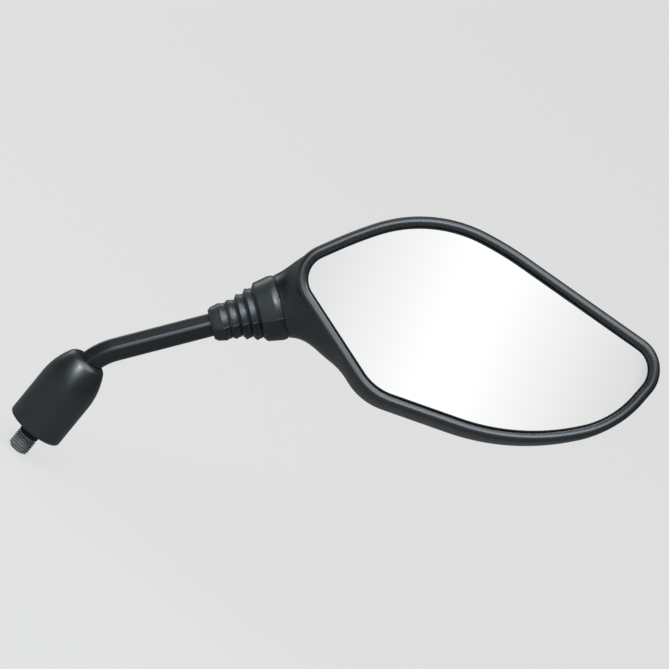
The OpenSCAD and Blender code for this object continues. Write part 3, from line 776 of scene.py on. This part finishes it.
def shellLevels():
    crest, wide = shell["crest"], shell["crest"] - shell["wideDrop"]
    back, bead = crest - shell["depth"], crest - shell["beadHeight"]
    levels = [level(shell["margin"], share, back) for share in (0.02, 0.25)]
    for a in range(90, -1, -5):
        t = math.radians(a)
        share = shell["backShare"] + (1 - shell["backShare"]) * math.cos(t)
        levels.append(level(shell["margin"], share, wide - (wide - back) * math.sin(t)))
    for a in np.linspace(0, 180, 17):
        t = math.radians(a)
        out = shell["pocket"] + shell["beadWidth"] / 2 * (1 + math.cos(t))
        levels.append(level(out, 1, bead + (shell["beadHeight"] - 0.12) * math.sin(t)))
    levels.append(level(shell["pocket"], 1, shell["floorZ"], (0, 0)))
    return levels


def makeBead():
    # the bead's own smooth skin, a hair over the melted shell
    half, skin = shell["beadWidth"] / 2, shell["beadSkin"]
    base, middle = shell["crest"] - shell["beadHeight"], shell["pocket"] + shell["beadWidth"] / 2
    rings = [level(middle + half + skin, 1, base - drop) for drop in (3.0, 2.0, 1.0, 0.4)]
    for a in np.linspace(0, 180, 37):
        t = math.radians(a)
        rise = (shell["beadHeight"] + skin - 0.06) * math.sin(t)
        rings.append(level(middle + (half + skin) * math.cos(t), 1, base + rise))
    low = shell["floorZ"] - 0.1
    rings += [level(middle - half - skin, 1, z, (0, 0)) for z in (low + 1.4, low)]
    rings += [level(middle - half + 0.7, 1, z, (0, 0)) for z in (low, base - 1.0)]
    rings += [level(middle + half - 0.7, 1, base - 3.0), rings[0]]
    points, faces = bridged(rings, len(rings[0]))
    pieceFrom("rim_bead", points, faces, atGlass, "rim", "head", 60.0)


def neckRings():
    table = np.array(neckStations, float)
    at = np.concatenate([np.linspace(0, 14, 22), np.linspace(15.5, 44, 10)])
    sizes = [smoothed(table[:, 0], table[:, k], at) for k in range(1, 5)]
    count = 128
    angles = turnAngles(count)
    rings = []
    for x, tall, deep, up, out in zip(at, *sizes):
        columns = (np.full(count, x - head["neckX"]), up + tall * np.cos(angles), out + deep * np.sin(angles))
        rings.append(np.stack(columns, axis=1))
    return rings, count


def smoothed(xs, ys, at):
    # a cubic through the stations, with slopes held level at overshoots
    slopes = np.gradient(ys, xs)
    result = []
    for x in at:
        i = min(max(int(np.searchsorted(xs, x)) - 1, 0), len(xs) - 2)
        h = xs[i + 1] - xs[i]
        t = (x - xs[i]) / h
        result.append((2 * t**3 - 3 * t**2 + 1) * ys[i] + (t**3 - 2 * t**2 + t) * h * slopes[i]
                      + (-2 * t**3 + 3 * t**2) * ys[i + 1] + (t**3 - t**2) * h * slopes[i + 1])
    return np.array(result)


def treeOf(points, faces):
    return BVHTree.FromPolygons([Vector(p) for p in points], faces)


def makeShell():
    rings = shellLevels()
    loftPoints, loftFaces = bridged(rings, len(rings[0]), True)
    neck, count = neckRings()
    swing = np.array(turned("Z", head["neckAngle"]).to_3x3())
    neck = [r @ swing.T for r in neck]
    neckPoints, neckFaces = bridged(neck, count, True)
    # both solids in one mesh, melted by a voxel remesh
    shifted = [tuple(i + len(loftPoints) for i in f) for f in neckFaces]
    both = plainMesh("both", np.concatenate([loftPoints, neckPoints]) * mm, loftFaces + shifted)
    facedOut(both)
    holder = linked("both", both)
    remesh = holder.modifiers.new("melt", "REMESH")
    remesh.mode = "VOXEL"
    remesh.voxel_size = shell["voxel"] * mm
    skin = evaluated(holder)
    points = np.empty(len(skin.vertices) * 3)
    skin.vertices.foreach_get("co", points)
    points = points.reshape(-1, 3) / mm
    onLoft, onNeck = treeOf(loftPoints, loftFaces), treeOf(neckPoints, neckFaces)
    points = snapped(points, onLoft, onNeck)
    edges = np.empty(len(skin.edges) * 2, int)
    skin.edges.foreach_get("vertices", edges)
    edges = edges.reshape(-1, 2)
    degree = np.bincount(edges.ravel(), minlength=len(points))[:, None]

    def averaged(values):
        total = np.zeros_like(values)
        np.add.at(total, edges[:, 0], values[edges[:, 1]])
        np.add.at(total, edges[:, 1], values[edges[:, 0]])
        return total / degree

    toLoft = np.array([onLoft.find_nearest(Vector(p))[3] for p in points])
    toNeck = np.array([onNeck.find_nearest(Vector(p))[3] for p in points])
    away = np.maximum(toLoft, toNeck)
    fromMouth = (points @ swing)[:, 0] + head["neckX"]
    # the bead's crest and the pocket keep their shape, and so does the neck's mouth
    outside = np.clip((flatDistance(points) - shell["pocket"] - shell["beadWidth"] * 0.5) / shell["rimFade"], 0, 1)
    clear = np.clip((fromMouth - shell["mouthKept"]) / shell["mouthFade"], 0, 1)
    free = np.where(points[:, 2] > shell["keptAbove"], outside, 1) * clear
    # fill the corner between the two solids, then melt what is left of the crease
    skin.vertices.foreach_set("co", points.ravel())
    skin.update()
    normals = np.array([tuple(n.vector) for n in skin.vertex_normals])
    for _ in range(shell["normalRounds"]):
        normals = averaged(normals)
    normals /= np.linalg.norm(normals, axis=1)[:, None]
    near = np.clip(1 - away / shell["fill"], 0, 1)
    points = points + normals * (free * near ** 2 * shell["fill"] * shell["fillShare"])[:, None]
    share = (np.clip(1 - away / shell["melt"], 0, 1) * free)[:, None]
    for _ in range(shell["meltRounds"]):
        points = points + share * shell["meltStep"] * (averaged(points) - points)
    skin.vertices.foreach_set("co", points.ravel())
    openShell(skin, swing)
    skin.transform(Matrix.Scale(mm, 4) @ atGlass)
    thick = linked("thick", skin)
    fewer = thick.modifiers.new("fewer", "DECIMATE")
    fewer.ratio = shell["fewer"]
    wall = thick.modifiers.new("wall", "SOLIDIFY")
    wall.thickness = shell["wall"] * mm
    wall.offset = -1
    wall.use_even_offset = False
    whole = evaluated(thick)
    whole.name = "housing"
    made = settled("housing", whole, "shell_plastic", "head", 60.0)
    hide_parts("head_shell")
    print("housing:", len(whole.polygons), "faces")


def snapped(points, onLoft, onNeck):
    made = points.copy()
    for i, p in enumerate(points):
        a, b = onLoft.find_nearest(Vector(p)), onNeck.find_nearest(Vector(p))
        made[i] = a[0] if a[3] <= b[3] else b[0]
    return made


def flatDistance(points):
    # distance outside the glass's outline, in the glass's plane
    line = outline(0.0)
    a, b = line, np.roll(line, -1, axis=0)
    result = np.full(len(points), 1e9)
    inside = np.zeros(len(points), bool)
    for (ax, ay), (bx, by) in zip(a, b):
        dx, dy = bx - ax, by - ay
        length = dx * dx + dy * dy
        if length < 1e-12:
            continue
        px, py = points[:, 0] - ax, points[:, 1] - ay
        t = np.clip((px * dx + py * dy) / length, 0, 1)
        result = np.minimum(result, np.hypot(px - t * dx, py - t * dy))
        crossing = ((ay > points[:, 1]) != (by > points[:, 1]))
        with np.errstate(divide="ignore", invalid="ignore"):
            at = ax + (points[:, 1] - ay) * dx / (dy if dy else 1e-12)
        inside ^= crossing & (points[:, 0] < at)
    return np.where(inside, -result, result)


def openShell(skin, swing):
    # opens the neck's mouth and the pocket's floor
    work = bmesh.new()
    work.from_mesh(skin)
    direction = Vector(swing @ np.array([1.0, 0, 0]))
    bmesh.ops.bisect_plane(work, geom=work.verts[:] + work.edges[:] + work.faces[:], dist=1e-5,
                           plane_co=direction * (0.06 - head["neckX"]), plane_no=direction, clear_inner=True)
    work.verts.ensure_lookup_table()
    centres = np.array([f.calc_center_median() for f in work.faces])
    low, high = shell["floorBand"]
    gone = (flatDistance(centres) < shell["pocket"] - 0.15) & (centres[:, 2] > low) & (centres[:, 2] < high)
    work.faces.ensure_lookup_table()
    bmesh.ops.delete(work, geom=[work.faces[i] for i in np.nonzero(gone)[0]], context="FACES")
    loose = [v for v in work.verts if not v.link_faces]
    bmesh.ops.delete(work, geom=loose, context="VERTS")
    bmesh.ops.recalc_face_normals(work, faces=work.faces)
    work.to_mesh(skin)
    work.free()


makeShell()
makeBead()


# glass and gasket

def domeHeight(flat, below=0.0):
    away = np.sum((flat - glassMiddle) ** 2, axis=1)
    return glass["crown"] - glass["radius"] + np.sqrt((glass["radius"] - below) ** 2 - away)


def makeGlass():
    def ring(inward, below, share=1.0):
        flat = outline(-inward) if share == 1.0 else glassMiddle + (outline(-0.35) - glassMiddle) * share
        return np.column_stack([flat, domeHeight(flat, below)])

    # the face, its ground edge, and the back
    thick = glass["thickness"]
    rings = [ring(0, 0, s) for s in (0.0005, *np.linspace(0.04, 0.985, 34))]
    rings += [ring(inward, below) for inward, below in ((0.5, 0.0), (0.35, 0.0), (0.3, 0.0), (0.16, 0.03), (0.04, 0.12),
                                                        (0.0, 0.3), (0.0, thick - 0.1), (0.1, thick))]
    rings += [ring(0, thick, s) for s in (*np.linspace(0.97, 0.1, 8), 0.0005)]
    points, faces = bridged(rings, len(rings[0]), True)
    made = pieceFrom("glass_plate", points, faces, atGlass, "mirror", "head", 40.0)
    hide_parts("mirror_glass")


def makeGasket():
    gap = glass["gap"]
    # distance out from the glass's edge, and height over its face
    profile = [(-0.36, 0.02), (-0.32, 0.11), (-0.18, 0.2), (0.05, 0.26), (0.3, 0.2), (0.45, 0.05), (0.48, -0.2),
               (0.48, -2.2), (0.4, -2.35), (gap + 0.05, -2.35), (gap, -2.2), (gap, -0.3), (gap - 0.12, 0.01)]
    rings = []
    for d, rise in profile + profile[:1]:
        flat = outline(d)
        rings.append(np.column_stack([flat, domeHeight(flat) + rise]))
    points, faces = bridged(rings, len(rings[0]))
    made = pieceFrom("gasket_ring", points, faces, atGlass, "gasket", "head", 50.0)
    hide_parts("glass_gasket")


makeGlass()
makeGasket()
print("glass made")


# inside of the neck: the spigot that the bellows sits on

def makeSpigot():
    # radius and place along the neck, with the flange that the bellows stops at
    profile = [(10.6, -14.0), (12.3, -14.0), (12.6, -13.7), (12.6, -10.6), (14.1, -10.45), (14.1, -9.6),
               (12.6, -9.5), (12.6, -8.9), (12.0, -8.4), (10.9, -8.4), (10.6, -8.7)]
    rings = [circleRing(r, x, 96) for r, x in profile + profile[:1]]
    points, faces = bridged(rings, 96)
    pieceFrom("neck_spigot", points, faces, atNeck @ turned("Y", 90), "shell_plastic", "head", 35.0)


makeSpigot()
print("spigot made")

# finishes of the CAD nodes that stay

kept = {"plate": ("lock_washer", "lock_nut", "ball_bracket", "clamp_plate", "clamp_screws", "spring_washers",
                  "clamp_nuts", "bracket_screws", "carrier_screws"),
        "nylon": ("ball_cup_rear", "ball_cup_front"), "carrier": ("glass_carrier",), "foam": ("adhesive_pad",)}
for finish, nodeNames in kept.items():
    for nodeName in nodeNames:
        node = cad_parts[nodeName]
        for materialSlot in node.material_slots:
            materialSlot.material = finishes[finish]
        if not node.material_slots:
            node.data.materials.append(finishes[finish])

# floor, world and lamps

studio = {"floorZ": -0.0175, "floorSize": 14.0, "floorColours": ((0.22, 0.22, 0.22), (0.205, 0.205, 0.205)),
          "paleFloor": 0.95, "paleShare": 0.72, "paleWorld": 0.95, "dimWorld": 0.14, "aside": 0.08,
          # angles in degrees from the camera's direction
          "hazeTilt": -22.0, "hazeAside": 0.5, "hazeAcross": (1.0, 8.0), "hazeLevels": (1.05, 0.77),
          "hazeCone": (8.8, 11.5)}


def makeFloor():
    half = studio["floorSize"] / 2
    corners = [(half * x, half * y, studio["floorZ"]) for x, y in ((-1, -1), (1, -1), (1, 1), (-1, 1))]
    mesh = plainMesh("floor", corners, [(0, 1, 2, 3)])
    look = Look("floorPaint")
    spread = look.noise(look.place(), 3.0, 2.0)
    colour = look.mixed(spread * 0.3, *studio["floorColours"])
    values = {"Base Color": colour, "Roughness": 0.9, "Specular IOR Level": 0.1}
    matt = look.node("ShaderNodeBsdfPrincipled", None, values)
    pale = look.node("ShaderNodeEmission", None, {"Color": (1, 1, 1, 1), "Strength": studio["paleFloor"]})
    share = studio["paleShare"] * rays(look)[0]
    both = look.node("ShaderNodeMixShader", None, {0: share, 1: matt, 2: pale})
    look.node("ShaderNodeOutputMaterial", None, {"Surface": both})
    mesh.materials.append(look.material)
    floor = linked("floor", mesh)


def rays(look):
    # camera rays, and those that a gloss or a glass sends on
    names = ("Is Camera Ray", "Is Glossy Ray", "Is Transmission Ray")
    camera, glossy, through = (look.node("ShaderNodeLightPath", output=name) for name in names)
    return camera, glossy.joined("MAXIMUM", glossy, through)


def makeWorld():
    # what the mirror looks at is a pale band, whitest along its middle and dim outside a cone
    world = bpy.data.worlds.new("studio")
    scene.world = world
    look = Look("world", world)
    tiltAcross = math.radians(studio["hazeTilt"])
    across = viewRight * math.cos(tiltAcross) + viewUp * math.sin(tiltAcross)
    direction = look.node("ShaderNodeTexCoord", output="Generated")
    degrees = 180 / math.pi
    dot = {"operation": "DOT_PRODUCT"}
    sideways, along = (look.node("ShaderNodeVectorMath", dot, {0: direction, 1: tuple(axis)}, output="Value")
                       for axis in (across, viewBack))
    offset = sideways - math.sin(math.radians(studio["hazeAside"]))
    bandAngle = look.node("ShaderNodeMath", {"operation": "ABSOLUTE"}, {0: offset}) * degrees
    along = along.joined("MINIMUM", along, 0.99999)
    coneAngle = look.node("ShaderNodeMath", {"operation": "ARCCOSINE"}, {0: along}) * degrees

    def ranged(angle, ends, levels, kind="LINEAR"):
        values = dict(enumerate((angle, *ends, *levels)))
        return look.node("ShaderNodeMapRange", {"interpolation_type": kind}, values)

    band = ranged(bandAngle, studio["hazeAcross"], studio["hazeLevels"])
    cone = ranged(coneAngle, studio["hazeCone"], (1.0, studio["aside"]), "SMOOTHSTEP")
    camera, glossy = rays(look)
    strength = studio["paleWorld"] * camera + glossy * band * cone + studio["dimWorld"] * (1 - camera - glossy)
    background = look.node("ShaderNodeBackground", None, {"Color": (1, 1, 1, 1), "Strength": strength})
    look.node("ShaderNodeOutputWorld", None, {"Surface": background})


def makeLamp(name, direction, distance, size, radiance, colour=(1, 1, 1)):
    # the direction is right, up and back in the picture; radiance is what a mirror would show
    toward = (viewRight * direction[0] + viewUp * direction[1] + viewBack * direction[2]).normalized()
    data = bpy.data.lights.new(name, "AREA")
    data.shape = "RECTANGLE"
    data.size, data.size_y = size
    data.energy = radiance * math.pi * size[0] * size[1]
    data.color = colour
    side = viewUp.cross(toward).normalized()
    linked(name, data).matrix_world = aimed(side, toward.cross(side), toward, target + toward * distance)


makeFloor()
makeWorld()
makeLamp("softboxAbove", (0.44, 0.64, 0.63), 1.3, (2.2, 1.5), 3.0, (0.95, 0.985, 1.0))
makeLamp("windowAbove", (0.03, 0.464, 0.885), 1.3, (0.17, 0.26), 52.0, (0.66, 0.84, 1.0))
makeLamp("softboxBehind", (-0.25, 0.75, -0.60), 1.5, (0.9, 0.5), 2.0)

scene.view_settings.view_transform = "Standard"
bpy.context.view_layer.update()
print("scene ready")
